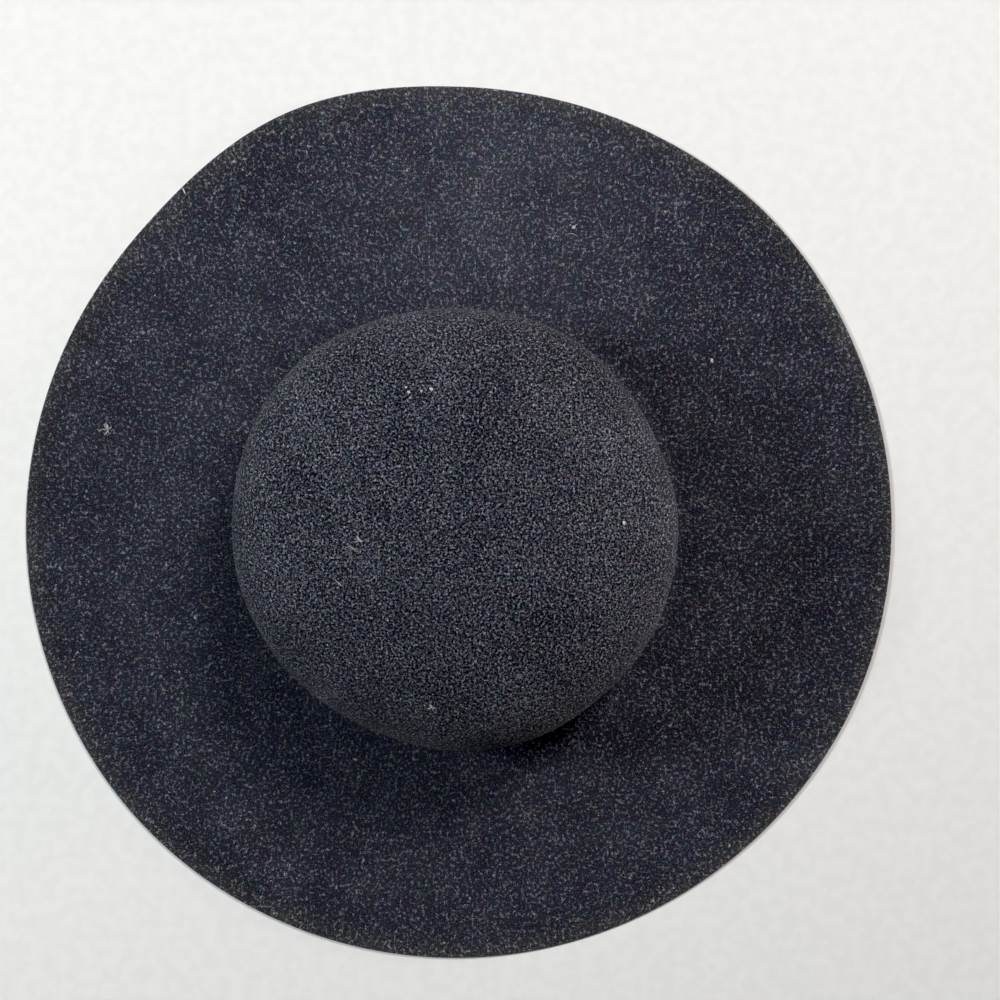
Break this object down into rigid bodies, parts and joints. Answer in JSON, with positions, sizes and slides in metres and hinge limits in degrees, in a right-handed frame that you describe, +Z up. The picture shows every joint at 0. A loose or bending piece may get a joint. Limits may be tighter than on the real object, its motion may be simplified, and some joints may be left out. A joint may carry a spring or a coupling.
{
  "type": "wide-brim felt hat",
  "caption": "Wide-brim hat blocked from one piece of wool felt, with a round undented crown and a broad brim that slopes gently down to a flat outer band.",
  "frame": {"origin": "under the middle of the hat's outline, on the surface that the brim lies on", "axes": "+Z up through the crown; +Y is the side of the brim that is uppermost in the picture, and +X is the picture's right"},
  "size_m": [0.3996, 0.4022, 0.1082],
  "materials": {
    "wool_felt": "matt heather wool felt, dark navy grey with short pale fibres"
  },
  "bodies": {
    "root": {"hat_body": "wool_felt"}
  },
  "joints": []
}
